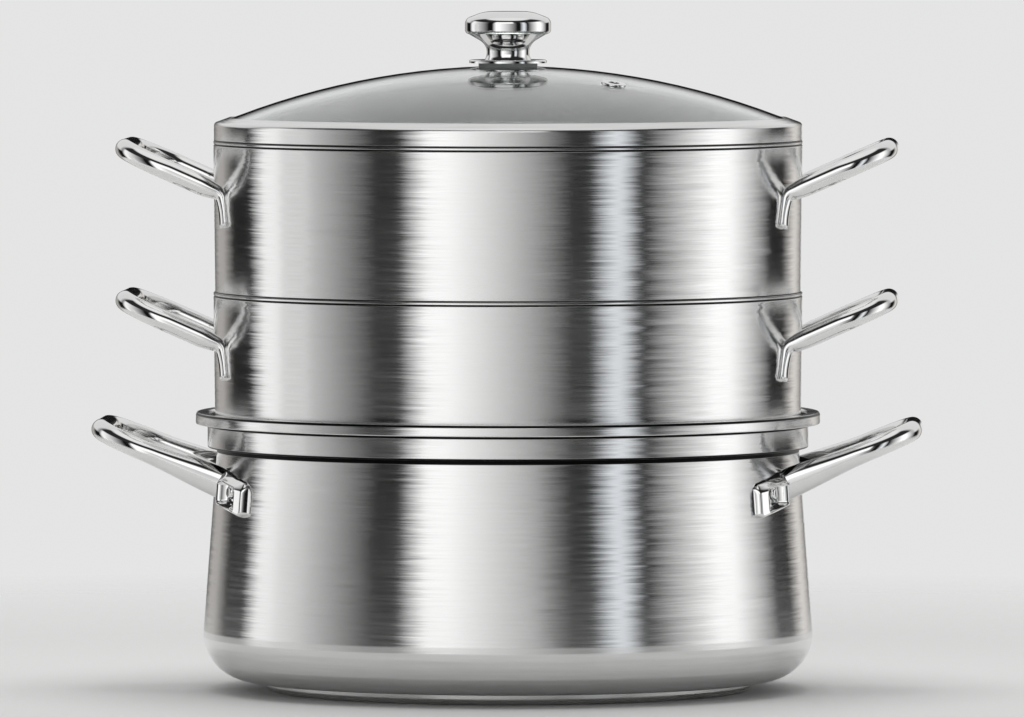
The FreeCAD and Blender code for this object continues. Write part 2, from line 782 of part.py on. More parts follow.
# Heights within the lid, from the bottom of its nesting neck.
band_outer = size.tier_radius - size.lid_inset
band_inner = band_outer - size.lid_wall
lid_shoulder = size.lid_neck_depth + size.lid_wall
glass_edge_radius = band_inner - size.seal_side - size.seal_clearance * 2
glass_edge_z = lid_shoulder + size.seal_base + size.seal_clearance
glass_inner_radius = size.glass_dome_radius - size.glass_thickness
dome_centre = glass_edge_z - (glass_inner_radius * glass_inner_radius - glass_edge_radius * glass_edge_radius).root()
glass_top = dome_centre + size.glass_dome_radius
glass_under = glass_top - size.glass_thickness
collar_z = glass_top + size.washer_thickness
knob_z = collar_z + size.collar_thickness
screw_washer_z = glass_under - size.under_washer_thickness - size.screw_washer_thickness


def dome_height(radius, extra):
    """Height of the glass dome's outside, grown by an extra, at a radius from the axis."""
    dome = size.glass_dome_radius + extra
    return dome_centre + (dome * dome - radius * radius).root()


def lid_band():
    """Rolled steel band: nesting neck, seat shoulder, side and a lip over the glass edge."""
    wall = size.lid_wall
    neck = size.lid_neck_depth
    lip_inner = band_outer - size.lid_lip_width
    lip_low = dome_height(band_inner, size.lid_lip_clearance)
    lip_high = dome_height(lip_inner, size.lid_lip_clearance)
    lift(turned("lid_band", [
        (neck_inner, 0),
        (neck_outer, 0),
        (neck_outer, neck, wall * 0.5),
        (band_outer, neck, wall * 0.7),
        (band_outer, lip_low + wall, size.lid_round),
        (lip_inner, lip_high + wall),
        (lip_inner, lip_high),
        (band_inner, lip_low, size.lid_round - wall),
        (band_inner, neck + wall),
        (neck_inner, neck + wall),
    ]), lid_z)


def lid_seal():
    """Soft ring under and around the edge of the glass."""
    outer = band_inner - size.seal_clearance
    lift(turned("lid_seal", [
        (neck_inner, lid_shoulder),
        (outer, lid_shoulder),
        (outer, lid_shoulder + size.seal_height),
        (outer - size.seal_side, lid_shoulder + size.seal_height),
        (outer - size.seal_side, lid_shoulder + size.seal_base),
        (neck_inner, lid_shoulder + size.seal_base),
    ]), lid_z)


def dome_ball(name, radius):
    return lift(primitive("Sphere", name, Radius=radius), lid_z + dome_centre)


def upright_rod(name, radius, low, high):
    rod = primitive("Cylinder", name, Radius=radius, Height=high - low)
    return lift(rod, lid_z + low)


def vent_place():
    """Where the steam vent sits: on the dome's outside, square to the glass."""
    tilt = math.degrees(math.asin(size.vent_distance.value / size.glass_dome_radius.value))
    turn = Rotation(Vector(0, 0, 1), size.vent_angle.value).multiply(Rotation(Vector(0, 1, 0), tilt))
    return Placement(Vector(0, 0, (lid_z + dome_centre).value), turn)


def lid_glass():
    """Tempered glass dome with a hole for the knob's screw and one for the vent."""
    shell = cut(
        "lid_glass_shell",
        dome_ball("lid_glass_outside", size.glass_dome_radius), dome_ball("lid_glass_inside", glass_inner_radius))
    blank = common(
        "lid_glass_blank", shell,
        upright_rod("lid_glass_edge", glass_edge_radius, glass_edge_z - size.glass_thickness,
                    glass_top + CUT_OVERRUN))
    hole = upright_rod(
        "lid_screw_hole", size.screw_radius + size.screw_clearance,
        glass_under - CUT_OVERRUN, glass_top + CUT_OVERRUN)
    drilled = cut("lid_glass_drilled", blank, hole)
    vent = primitive(
        "Cylinder", "lid_vent_hole",
        Radius=size.vent_tube_radius + size.vent_clearance, Height=size.glass_dome_radius + CUT_OVERRUN)
    vent.Placement = vent_place()
    return cut("lid_glass", drilled, vent)


def lid_vent_eyelet():
    """Steel eyelet rolled over both faces of the glass."""
    top = size.glass_dome_radius + size.vent_clearance
    under = glass_inner_radius - size.vent_clearance
    flange = size.vent_flange
    eyelet = turned("lid_vent_eyelet", [
        (size.vent_bore, under - flange),
        (size.vent_flange_radius, under - flange, flange * 0.6),
        (size.vent_flange_radius, under),
        (size.vent_tube_radius, under),
        (size.vent_tube_radius, top),
        (size.vent_flange_radius, top),
        (size.vent_flange_radius, top + flange, flange * 0.6),
        (size.vent_bore, top + flange, flange * 0.6),
    ])
    eyelet.Placement = vent_place()


def lid_knob():
    """Hollow polished knob on a collar, with a threaded boss inside."""
    wall = size.knob_wall
    foot = size.knob_foot_radius
    waist = size.knob_waist_radius
    top = size.knob_height
    waist_z = size.knob_cap_height * 0.6
    waist_round = waist * 0.75
    brim_z = size.knob_cap_height + wall * 2
    lift(turned("lid_knob", [
        (foot, 0),
        (waist, waist_z, waist_round),
        (size.knob_radius, brim_z, wall * 1.8),
        (size.knob_radius, top - wall * 3, wall * 3),
        (size.knob_radius * 0.55, top, size.knob_radius),
        (0, top),
        (0, top - wall),
        (size.knob_radius * 0.55 - wall * 0.5, top - wall, size.knob_radius - wall),
        (size.knob_radius - wall, top - wall * 3.5, wall * 2),
        (size.knob_radius - wall, brim_z + wall * 1.2, wall * 0.8),
        (waist - wall, waist_z + wall * 0.5, waist_round + wall),
        (foot - wall, 0),
    ]), lid_z + knob_z)
    bore = size.screw_radius + size.screw_clearance
    lift(turned("lid_knob_boss", [
        (bore, 0),
        (size.boss_radius, 0),
        (size.boss_radius, top - wall),
        (0, top - wall),
        (0, size.screw_reach + wall),
        (bore, size.screw_reach + wall),
    ]), lid_z + knob_z)
    lift(turned("lid_knob_collar", [
        (bore, 0),
        (size.collar_radius, 0),
        (size.collar_radius, size.collar_thickness, size.collar_thickness * 0.6),
        (bore, size.collar_thickness),
    ]), lid_z + collar_z)


def lid_fastening():
    """Screw from below with a steel washer, and soft washers on both faces of the glass."""
    bore = size.screw_radius + size.screw_clearance
    above = cut(
        "lid_washer_above_disc",
        upright_rod("lid_washer_above_rod", size.washer_radius, glass_top - CUT_OVERRUN, collar_z),
        dome_ball("lid_washer_above_seat", size.glass_dome_radius + WELD_GAP))
    cut("lid_knob_washer", above,
        upright_rod("lid_washer_above_bore", bore, glass_under, collar_z + CUT_OVERRUN))
    below = common(
        "lid_washer_below_disc",
        upright_rod("lid_washer_below_rod", size.under_washer_radius,
                    glass_under - size.under_washer_thickness, glass_under + CUT_OVERRUN),
        dome_ball("lid_washer_below_seat", glass_inner_radius - WELD_GAP))
    cut("lid_glass_washer", below,
        upright_rod("lid_washer_below_bore", bore, screw_washer_z, glass_under + CUT_OVERRUN))
    lift(turned("lid_screw_washer", [
        (bore, 0),
        (size.screw_washer_radius, 0),
        (size.screw_washer_radius, size.screw_washer_thickness),
        (bore, size.screw_washer_thickness),
    ]), lid_z + screw_washer_z)
    head = size.screw_head_height
    lift(turned("lid_knob_screw", [
        (0, 0),
        (size.screw_head_radius, 0, head * 0.6),
        (size.screw_head_radius, head),
        (size.screw_radius, head),
        (size.screw_radius, head + knob_z - screw_washer_z + size.screw_reach),
        (0, head + knob_z - screw_washer_z + size.screw_reach),
    ]), lid_z + screw_washer_z - head)


def lid():
    lid_band()
    lid_seal()
    lid_glass()
    lid_vent_eyelet()
    lid_knob()
    lid_fastening()


NODES = [
    "pot_shell", "pot_floor", "pot_collar", "pot_base_core", "pot_base_cap", "pot_handle_right",
    "pot_handle_left", "pot_handle_rivets",
    "lower_tier_shell", "lower_tier_ledge", "lower_tier_handle_right", "lower_tier_handle_left", "lower_steam_plate",
    "upper_tier_shell", "upper_tier_ledge", "upper_tier_handle_right", "upper_tier_handle_left", "upper_steam_plate",
    "lid_band", "lid_seal", "lid_glass", "lid_vent_eyelet", "lid_knob", "lid_knob_boss", "lid_knob_collar",
    "lid_knob_washer", "lid_glass_washer", "lid_screw_washer", "lid_knob_screw",
]


def main():
    pot()
    tier("lower", lower_tier_z)
    tier("upper", upper_tier_z)
    lid()
    doc.recompute()
    failed = [thing.Name for thing in doc.Objects if {"Invalid", "Error"} & set(thing.State)]
    if failed:
        raise RuntimeError(f"these pieces failed to build: {failed}")
    os.makedirs("parts", exist_ok=True)
    pieces = {node: doc.getObjectsByLabel(node)[0].Shape for node in NODES}
    for node, shape in pieces.items():
        if shape.isNull() or not shape.isValid():
            raise RuntimeError(f"{node} has no valid solid")
    for node, shape in pieces.items():
        shape.exportStep(f"parts/{node}.step")
        print(f"{node}: {len(shape.Solids)} solid, {shape.Volume / 1000:.2f} cm3")


main()
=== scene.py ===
"""Looks of the steamer pot: finely turned walls, bent handles, finishes and a plain studio."""

import json
import math

import bmesh
import bpy
from mathutils import Matrix, Vector


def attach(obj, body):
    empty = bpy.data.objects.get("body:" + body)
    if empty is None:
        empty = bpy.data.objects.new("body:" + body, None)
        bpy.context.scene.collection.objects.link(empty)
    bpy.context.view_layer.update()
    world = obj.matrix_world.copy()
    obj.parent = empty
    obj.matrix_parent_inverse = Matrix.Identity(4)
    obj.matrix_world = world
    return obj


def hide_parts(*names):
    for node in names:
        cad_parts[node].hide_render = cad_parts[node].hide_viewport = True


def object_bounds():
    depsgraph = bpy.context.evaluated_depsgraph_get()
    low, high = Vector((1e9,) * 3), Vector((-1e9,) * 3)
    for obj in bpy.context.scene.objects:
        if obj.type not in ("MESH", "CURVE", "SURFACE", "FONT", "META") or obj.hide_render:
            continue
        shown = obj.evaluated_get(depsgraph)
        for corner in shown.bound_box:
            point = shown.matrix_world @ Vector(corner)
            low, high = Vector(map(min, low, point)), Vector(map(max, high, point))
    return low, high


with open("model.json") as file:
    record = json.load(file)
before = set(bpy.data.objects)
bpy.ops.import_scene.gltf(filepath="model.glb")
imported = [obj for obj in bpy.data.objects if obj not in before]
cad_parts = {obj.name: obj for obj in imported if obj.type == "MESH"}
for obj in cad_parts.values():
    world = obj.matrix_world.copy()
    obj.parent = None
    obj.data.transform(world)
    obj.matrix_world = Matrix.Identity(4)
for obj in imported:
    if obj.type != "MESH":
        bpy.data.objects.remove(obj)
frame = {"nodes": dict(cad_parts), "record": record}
cad_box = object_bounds()

MM = 0.001
ON_AXIS = 1e-9

# Camera: a long lens far off, a little to the right of the pot's front.
CAMERA_AZIMUTH = 2.7
CAMERA_DISTANCE = 6.18
CAMERA_HEIGHT = 0.411
CAMERA_PITCH = 2.348
CAMERA_YAW = 0.0176
LENS = 456.6
SENSOR = 36.0
CLIP_END = 200.0

# Strip lights round the pot, by compass angle from the front towards the right, in degrees:
# where each starts, is at its full strength from and to, and ends, how strong it is, and its colour.
WARM = (1.0, 0.96, 0.92)
WHITE = (1.0, 1.0, 1.0)
COOL = (0.95, 0.99, 1.04)
STRIP_LIGHTS = [
    (-174, -156, -147, -134, 0.44, WARM),
    (-119, -109, -103, -51, 1.08, WHITE),
    (-40, -29, -21, 27, 1.24, WHITE),
    (35.5, 45, 48, 56, 0.94, COOL),
    (58, 91, 100, 128, 1.27, WHITE),
    (140, 153, 158, 176, 0.74, WARM),
]
GAP_BETWEEN_LIGHTS = 0.008
OVERHEAD_GLOW = 0.9
DARK_RING = 0.025
FRONT_BOX = 1.25
PALE_SURROUND = 0.78

# Where the rest of the surround lies, in degrees: a way is its compass angle, half width and soft edge,
# and a level is its elevation and soft edge.
PALE_BEHIND_WAY = (181.0, 6.0, 3.0)
PALE_LEFT_WAY = (-90.0, 6.0, 3.0)
PALE_SIDES_TOP = (0.0, 0.6)
PALE_CORNER_WAY = (46.0, 6.0, 2.0)
PALE_CORNER_TOP = (-9.0, 1.0)
PALE_GROUND_TOP = (-17.5, 2.0)
DARK_RING_BOTTOM = (28.0, 3.0)
FRONT_BOX_WAY = (-8.0, 22.0, 6.0)
FRONT_BOX_BOTTOM = (14.0, 2.0)
FRONT_BOX_TOP = (36.0, 3.0)
BACKDROP_WAY = (180.0, 50.0, 16.0)
BACKDROP_BOTTOM = (9.0, 3.0)
OVERHEAD_BOTTOM = (60.0, 4.0)

# Table and lamp, in metres and watts.
TABLE_COLOUR = (0.7, 0.7, 0.695)
TABLE_RADIUS = 1.0
TABLE_GAP = 0.0002
TABLE_SIDES = 128
TABLE_GRAIN = 40.0
GRAIN_LIGHTER = 1.01
FADE_FROM = 0.45
FADE_TO = 0.98
LAMP_HEIGHT = 2.4
LAMP_SIZE = 1.6
LAMP_POWER = 30.0

# Finishes: the two colours that each is mixed from, and its least and greatest roughness.
NOISE_RANGE = (0.3, 0.7)
STREAK_RANGE = (0.35, 0.65)
SMUDGE_RANGE = (0.42, 0.68)
BRUSHED_DULL = (0.74, 0.74, 0.735)
BRUSHED_BRIGHT = (0.83, 0.83, 0.825)
BRUSHED_ROUGH = (0.155, 0.185)
SMUDGE_ROUGH = 0.02
# Painted shade: a near-black colour and extra roughness painted into the steel in bands, standing in for
# shadow in gaps and under steps and for dark reflections on roundings.
PAINTED_SHADE_COLOUR = (0.012, 0.012, 0.012)
PAINTED_SHADE_ROUGH = 0.3
POLISHED_CLEAN = (0.84, 0.84, 0.835)
POLISHED_SMUDGED = (0.8, 0.8, 0.795)
POLISHED_ROUGH = (0.045, 0.075)
PLATE_CLEAN = (0.74, 0.74, 0.73)
PLATE_SMUDGED = (0.68, 0.68, 0.67)
PLATE_ROUGH = (0.26, 0.36)
BASE_DULL = (0.56, 0.56, 0.55)
BASE_BRIGHT = (0.76, 0.76, 0.75)
BASE_ROUGH = (0.22, 0.34)
RINGS_PER_METRE = 1600.0
CORE_DULL = (0.7, 0.71, 0.72)
CORE_BRIGHT = (0.8, 0.81, 0.82)
CORE_ROUGH = (0.3, 0.42)
GLASS_CLEAN = (0.95, 0.98, 0.97)
GLASS_SMEARED = (0.92, 0.955, 0.945)
GLASS_ROUGH = (0.01, 0.04)
SILICONE_CLEAN = (0.42, 0.43, 0.43)
SILICONE_SMUDGED = (0.36, 0.37, 0.37)
SILICONE_ROUGH = (0.55, 0.72)

# Sizes of the turned pieces in millimetres; heights are above the table.
TURN_SEGMENTS = 240
ARC_STEP = 9.0
ARC_LEAST_STEPS = 3
SUPPORT = 0.5
LONG_RUN = 3.0
EDGE_ROUND = 0.3
FOLD_ROUND = 0.5
TIER_RADIUS = 140.2
TIER_FOOT = 139.4
TIER_WALL = 0.7
TIER_HEIGHT = 72.0
HEM_INNER = 137.9
HEM_HEIGHT = 1.75
HEM_ROUND = 0.6
HEM_GROOVE = 0.6
HEM_LIP = 0.4
HEM_TAPER = 1.8
GROOVE_ROUND = 0.2
NECK_OUTER = 137.1
NECK_INNER = 136.4
NECK_DEPTH = 8.0
LOWER_RIM = 189.5
UPPER_RIM = 261.5
POT_RIM = 132.0
POT_WALL = 0.8
POT_FLOOR = 4.9
POT_CORNER = 22.0
BELLY = 146.8
WAIST = 138.55
BODY_TOP = 115.6
LEDGE = 117.5
MOUTH_INNER = 142.3
MOUTH_OUTER = 143.1
RIM_OUTER = 148.7
RIM_DROP = 5.0
RIM_CROWN = 0.4
RIM_SHEET = 1.6
RIM_SLOPE_WIDTH = 0.6
RIM_SLOPE_HEIGHT = 1.4
SLOPE_FOOT_ROUND = 0.6
SLOPE_TOP_ROUND = 0.4
RIM_EDGE_ROUND = 0.45
RIM_FOLD_ROUND = 0.8
STEP_ROUND = 0.9
MOUTH_ROUND = 1.5
BAND_OUTER = 140.0
BAND_WALL = 0.7
BAND_NECK = 6.0
LIP_LOW = 269.84
LIP_INNER = 132.5
LIP_HIGH = 272.6
LIP_ROUND = 2.0
LIP_EDGE_ROUND = 0.25

# How far each band of painted shade (shadow in gaps and under steps, dark reflection on roundings) reaches
# below, above and inside of the line that it follows, in millimetres.
WAIST_SHADE_REACH = (2.1, 1.0)
STEP_SHADE_REACH = (1.0, 0.9)
RIM_EDGE_SHADE_REACH = (1.3, 0.1)
RIM_TOP_SHADE_REACH = (1.25, -0.1)
FOLD_SHADE_REACH = (0.5, 0.5)
HEM_SHADE_REACH = (0.45, 0.45)
HEM_TOP_SHADE_REACH = (0.5, -0.12)
WAIST_SHADE_INSET = 0.25
RIM_SHADE_INSET = 1.5
HEM_SHADE_INSET = 1.0

# Handles in millimetres, drawn for the right-hand side.
TUBE_SIDES = 40
STATION_STEP = 1.5
BEND_STEP = 4.0
BEND_LEAST_STEPS = 6
TIER_TUBE = 4.75
TIER_REACH = 181.0
TIER_HALF_WIDTH = 44.0
TIER_CORNER = 24.0
TIER_TIP_DROP = 3.7
TIER_BEND_DROP = 24.5
TIER_FOOT_DROP = 40.0
TIER_BEND = 5.0
TIER_FOOT_SPREAD = 4.0
LEG_HALF_WIDTH = 3.6
LEG_HALF_THICKNESS = 1.8
LEG_STANDOFF = 1.5
LEG_FORM_START = 5.0
LEG_FORM_LENGTH = 22.0
LEG_TIP_SHARE = 0.88
LEG_TIP_LENGTH = 0.7
LEG_SINK = 0.3
POT_TUBE = 4.85
POT_REACH = 192.5
POT_HALF_WIDTH = 46.0
POT_BEND = 27.0
POT_TIP_DROP = 7.5
POT_ROOT_DROP = 32.5
ROOT_HALF_HEIGHT = 7.4
ROOT_HALF_WIDTH = 4.6
ROOT_LENGTH = 45.0
ROOT_INSET = 1.5

# Pressed foot of a pot handle, in millimetres along the wall from the handle's leg and out from it.
FOOT_ANGLE = 23.2
FOOT_HEIGHT = 97.5
FOOT_FALL = 7.0 / 32.0
FOOT_START = -10.0
FOOT_END = 20.6
FOOT_HALF_HEIGHT = 7.8
FOOT_WIDENING = 0.03
FOOT_CORNER = 3.2
FOOT_ROUNDING = 1.6
FOOT_TIP = 3.4
FOOT_SLOPE = 0.17
FOOT_LEAST_RISE = 0.4
FOOT_RISE_LENGTH = 9.0
FOOT_BEVEL = 5.0
FOOT_SHEET = 1.4
FOOT_BACK = -0.45
FOOT_GRID = 0.45
FOOT_ROWS = 20
POCKET_START = -0.5
POCKET_END = 14.2
POCKET_LIP = 1.3
POCKET_TOP = 4.4
POCKET_CORNER = 2.0
POCKET_SIDE = 1.1


class Wiring:
    """A node tree with short ways to add nodes and join them."""

    def __init__(self, tree):
        self.tree = tree
        tree.nodes.clear()

    def add(self, kind, inputs=None, **settings):
        made = self.tree.nodes.new(kind)
        for name, value in settings.items():
            setattr(made, name, value)
        for name, value in (inputs or {}).items():
            self.feed(value, made.inputs[name])
        return made

    def feed(self, value, socket):
        if isinstance(value, bpy.types.NodeSocket):
            self.tree.links.new(value, socket)
        else:
            socket.default_value = value

    def math(self, operation, first, second=0.0):
        return self.add("ShaderNodeMath", {0: first, 1: second}, operation=operation).outputs[0]

    def vector(self, operation, first, second=(0, 0, 0)):
        made = self.add("ShaderNodeVectorMath", {0: first, 1: second}, operation=operation)
        return made.outputs["Value" if operation == "LENGTH" else "Vector"]

    def scaled(self, vector, factor):
        made = self.add("ShaderNodeVectorMath", {0: vector, "Scale": factor}, operation="SCALE")
        return made.outputs["Vector"]

    def remap(self, value, low, high, to_low=0.0, to_high=1.0):
        made = self.add("ShaderNodeMapRange", {
            "Value": value, "From Min": low, "From Max": high, "To Min": to_low, "To Max": to_high})
        return made.outputs["Result"]

    def mix(self, share, first, second):
        # The colour sockets go by place, because a mix node has others of the same names.
        made = self.add("ShaderNodeMix", data_type="RGBA")
        self.feed(share, made.inputs[0])
        self.feed(first, made.inputs[6])
        self.feed(second, made.inputs[7])
        return made.outputs[2]

    def ramp(self, share, stops):
        made = self.add("ShaderNodeValToRGB", {"Fac": share})
        elements = made.color_ramp.elements
        while len(elements) < len(stops):
            elements.new(0.5)
        for element, (place, colour) in zip(elements, stops):
            element.position = place
            element.color = (*colour, 1.0)
        return made.outputs["Color"]


def effect(name, inputs, outputs):
    """A new shader node group with named inputs and outputs; gives its wiring and input sockets."""
    group = bpy.data.node_groups.new(name, "ShaderNodeTree")
    wiring = Wiring(group)
    for label, value in inputs.items():
        socket = group.interface.new_socket(label, in_out="INPUT", socket_type="NodeSocketFloat")
        socket.default_value = value
    for label, kind in outputs.items():
        group.interface.new_socket(label, in_out="OUTPUT", socket_type=f"NodeSocket{kind}")
    return group, wiring, wiring.add("NodeGroupInput").outputs


def brush_lines():
    """Lines left by a brush that runs round the Z axis: fine lines, broad streaks and a swaying normal."""
    group, wire, given = effect(
        "brush_lines",
        {"Line Length": 0.03, "Line Pitch": 0.0006, "Sway": 0.02,
         "Streak Length": 0.05, "Streak Pitch": 0.002},
        {"Lines": "Float", "Streaks": "Float", "Normal": "Vector"})
    place = wire.add("ShaderNodeTexCoord").outputs["Object"]

    def lines(length, pitch, detail):
        across = wire.math("DIVIDE", 1.0, length)
        up = wire.math("DIVIDE", 1.0, pitch)
        stretch = wire.add("ShaderNodeCombineXYZ", {"X": across, "Y": across, "Z": up}).outputs["Vector"]
        stretched = wire.vector("MULTIPLY", place, stretch)
        noise = wire.add("ShaderNodeTexNoise", {
            "Vector": stretched, "Scale": 1.0, "Detail": detail, "Roughness": 0.55})
        return noise.outputs["Fac"]

    fine = lines(given["Line Length"], given["Line Pitch"], 3.0)
    broad = lines(given["Streak Length"], given["Streak Pitch"], 2.0)
    sideways = wire.vector("NORMALIZE", wire.vector("CROSS_PRODUCT", (0, 0, 1), place))
    sway = wire.math("ADD", wire.math("SUBTRACT", fine, 0.5), wire.math("SUBTRACT", broad, 0.5))
    shift = wire.scaled(sideways, wire.math("MULTIPLY", sway, given["Sway"]))
    normal = wire.add("ShaderNodeNewGeometry").outputs["Normal"]
    wire.add("NodeGroupOutput", {
        "Lines": fine, "Streaks": broad,
        "Normal": wire.vector("NORMALIZE", wire.vector("ADD", normal, shift))})
    return group


def handling_marks():
    """Soft smudges and fine rubbing left by hands and cloths."""
    group, wire, given = effect(
        "handling_marks",
        {"Smudge Size": 0.03, "Rub Size": 0.004},
        {"Smudges": "Float", "Rubs": "Float"})
    place = wire.add("ShaderNodeTexCoord").outputs["Object"]

    def cloud(size, detail):
        scale = wire.math("DIVIDE", 1.0, size)
        noise = wire.add("ShaderNodeTexNoise", {
            "Vector": place, "Scale": scale, "Detail": detail, "Roughness": 0.6})
        return noise.outputs["Fac"]

    wire.add("NodeGroupOutput", {
        "Smudges": wire.remap(cloud(given["Smudge Size"], 3.0), *SMUDGE_RANGE),
        "Rubs": cloud(given["Rub Size"], 4.0)})
    return group


def painted_seam_shade():
    """Painted shade of one band that runs round the Z axis between two heights, outside a least radius:
    shadow in a gap or under a step, dark reflection on a rounding.
    """
    group, wire, given = effect(
        "painted_seam_shade",
        {"Low": 0.0, "High": 0.001, "Least Radius": 0.0, "Softness": 0.00015},
        {"Shade": "Float"})
    place = wire.add("ShaderNodeTexCoord").outputs["Object"]
    height = wire.add("ShaderNodeSeparateXYZ", {"Vector": place}).outputs["Z"]
    radius = wire.vector("LENGTH", wire.vector("MULTIPLY", place, (1, 1, 0)))
    above = wire.math("SUBTRACT", height, given["Low"])
    below = wire.math("SUBTRACT", given["High"], height)
    outside = wire.math("SUBTRACT", radius, given["Least Radius"])
    within = wire.math("MINIMUM", wire.math("MINIMUM", above, below), outside)
    wire.add("NodeGroupOutput", {
        "Shade": wire.remap(wire.math("DIVIDE", within, given["Softness"]), -1.0, 1.0)})
    return group


BRUSH = brush_lines()
MARKS = handling_marks()
PAINTED_SHADE = painted_seam_shade()


def finish(name, **settings):
    """A new material with these plain settings; gives the material, its wiring and its shader."""
    material = bpy.data.materials.new(name)
    material.use_nodes = True
    wire = Wiring(material.node_tree)
    shader = wire.add("ShaderNodeBsdfPrincipled")
    for label, value in settings.items():
        shader.inputs[label.replace("_", " ")].default_value = value
    wire.add("ShaderNodeOutputMaterial", {"Surface": shader.outputs["BSDF"]})
    return material, wire, shader


def placed(wire, group, **values):
    """An effect placed in a material with its own values."""
    made = wire.add("ShaderNodeGroup", node_tree=group)
    for label, value in values.items():
        made.inputs[label.replace("_", " ")].default_value = value
    return made.outputs


def coloured(wire, shader, share, first, second, rough):
    """Gives a shader a colour that a share mixes from two, and its roughness."""
    wire.feed(wire.mix(share, (*first, 1), (*second, 1)), shader.inputs["Base Color"])
    wire.feed(rough, shader.inputs["Roughness"])


def brushed_steel(name, shade_bands=()):
    """Steel sheet brushed round the wall, with painted shade in bands along its gaps, steps and roundings.

    A band of painted shade is its lowest and highest millimetre and the least radius that it shows at.
    """
    material, wire, shader = finish(name, Metallic=1.0, Anisotropic=0.88, Anisotropic_Rotation=0.25)
    brush = placed(wire, BRUSH, Line_Length=0.022, Line_Pitch=0.00045, Sway=0.07,
                   Streak_Length=0.045, Streak_Pitch=0.0016)
    marks = placed(wire, MARKS, Smudge_Size=0.05, Rub_Size=0.006)
    from_lines = wire.remap(brush["Lines"], *NOISE_RANGE, 0.0, 0.5)
    from_streaks = wire.remap(brush["Streaks"], *STREAK_RANGE, 0.0, 0.5)
    share = wire.math("ADD", from_lines, from_streaks)
    colour = wire.mix(share, (*BRUSHED_DULL, 1), (*BRUSHED_BRIGHT, 1))
    rough = wire.remap(brush["Streaks"], *NOISE_RANGE, *BRUSHED_ROUGH)
    rough = wire.math("ADD", rough, wire.math("MULTIPLY", marks["Smudges"], SMUDGE_ROUGH))
    # Painted shade: each band mixes the colour to near black and roughens it, standing in for shadow in
    # gaps and for dark reflection on roundings.
    if shade_bands:
        dark = 0.0
        for low, high, radius in shade_bands:
            line = placed(wire, PAINTED_SHADE, Low=low * MM, High=high * MM, Least_Radius=radius * MM)
            dark = wire.math("MAXIMUM", dark, line["Shade"])
        colour = wire.mix(dark, colour, (*PAINTED_SHADE_COLOUR, 1))
        rough = wire.math("ADD", rough, wire.math("MULTIPLY", dark, PAINTED_SHADE_ROUGH))
    wire.feed(colour, shader.inputs["Base Color"])
    wire.feed(rough, shader.inputs["Roughness"])
    wire.feed(brush["Normal"], shader.inputs["Normal"])
    return material


def polished_steel():
    """Bright polished steel with faint rubbing."""
    material, wire, shader = finish("polished_steel", Metallic=1.0)
    marks = placed(wire, MARKS, Smudge_Size=0.02, Rub_Size=0.004)
    rough = wire.remap(marks["Rubs"], *NOISE_RANGE, *POLISHED_ROUGH)
    coloured(wire, shader, marks["Smudges"], POLISHED_CLEAN, POLISHED_SMUDGED, rough)
    return material


def satin_plate_steel():
    """Satin sheet of the loose steam plates."""
    material, wire, shader = finish("satin_plate_steel", Metallic=1.0)
    marks = placed(wire, MARKS, Smudge_Size=0.04, Rub_Size=0.002)
    rough = wire.remap(marks["Rubs"], *NOISE_RANGE, *PLATE_ROUGH)
    coloured(wire, shader, marks["Smudges"], PLATE_CLEAN, PLATE_SMUDGED, rough)
    return material


def turned_base_steel():
    """Base cap with rings from turning."""
    material, wire, shader = finish("turned_base_steel", Metallic=1.0)
    place = wire.add("ShaderNodeTexCoord").outputs["Object"]
    away = wire.vector("LENGTH", wire.vector("MULTIPLY", place, (1, 1, 0)))
    rings = wire.add(
        "ShaderNodeTexNoise",
        {"W": wire.math("MULTIPLY", away, RINGS_PER_METRE), "Scale": 1.0, "Detail": 2.0},
        noise_dimensions="1D").outputs["Fac"]
    rough = wire.remap(rings, *NOISE_RANGE, *BASE_ROUGH)
    coloured(wire, shader, rings, BASE_DULL, BASE_BRIGHT, rough)
    return material


def raw_aluminium():
    """Dull core between the pot's floor and the base cap."""
    material, wire, shader = finish("raw_aluminium", Metallic=1.0)
    marks = placed(wire, MARKS, Smudge_Size=0.02, Rub_Size=0.002)
    rough = wire.remap(marks["Rubs"], *NOISE_RANGE, *CORE_ROUGH)
    coloured(wire, shader, marks["Rubs"], CORE_DULL, CORE_BRIGHT, rough)
    return material


def tempered_glass():
    """Clear lid glass with a faint cool tint and light smears."""
    material, wire, shader = finish("tempered_glass", Metallic=0.0, Transmission_Weight=1.0, IOR=1.47)
    marks = placed(wire, MARKS, Smudge_Size=0.06, Rub_Size=0.004)
    rough = wire.remap(marks["Smudges"], 0.0, 1.0, *GLASS_ROUGH)
    coloured(wire, shader, marks["Smudges"], GLASS_CLEAN, GLASS_SMEARED, rough)
    return material


def matt_silicone():
    """Grey soft seal and washers."""
    material, wire, shader = finish("matt_silicone", Metallic=0.0)
    marks = placed(wire, MARKS, Smudge_Size=0.015, Rub_Size=0.001)
    rough = wire.remap(marks["Rubs"], *NOISE_RANGE, *SILICONE_ROUGH)
    coloured(wire, shader, marks["Smudges"], SILICONE_CLEAN, SILICONE_SMUDGED, rough)
    bump = wire.add("ShaderNodeBump", {"Height": marks["Rubs"], "Strength": 0.2, "Distance": 0.0002})
    wire.feed(bump.outputs["Normal"], shader.inputs["Normal"])
    return material


def dress_nodes(finishes):
    """Gives each solid the finish of its slot."""
    for part in frame["record"]["subparts"]:
        node = frame["nodes"][part["node"]]
        for slot in node.material_slots:
            slot.material = finishes[part["material_slot"]]


def settled(name, mesh, body, nodes, material):
    """Puts a new piece in the scene in place of its solids and lets it ride on its body."""
    mesh.materials.append(material)
    piece = bpy.data.objects.new(name, mesh)
    bpy.context.scene.collection.objects.link(piece)
    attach(piece, body)
    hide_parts(*nodes)


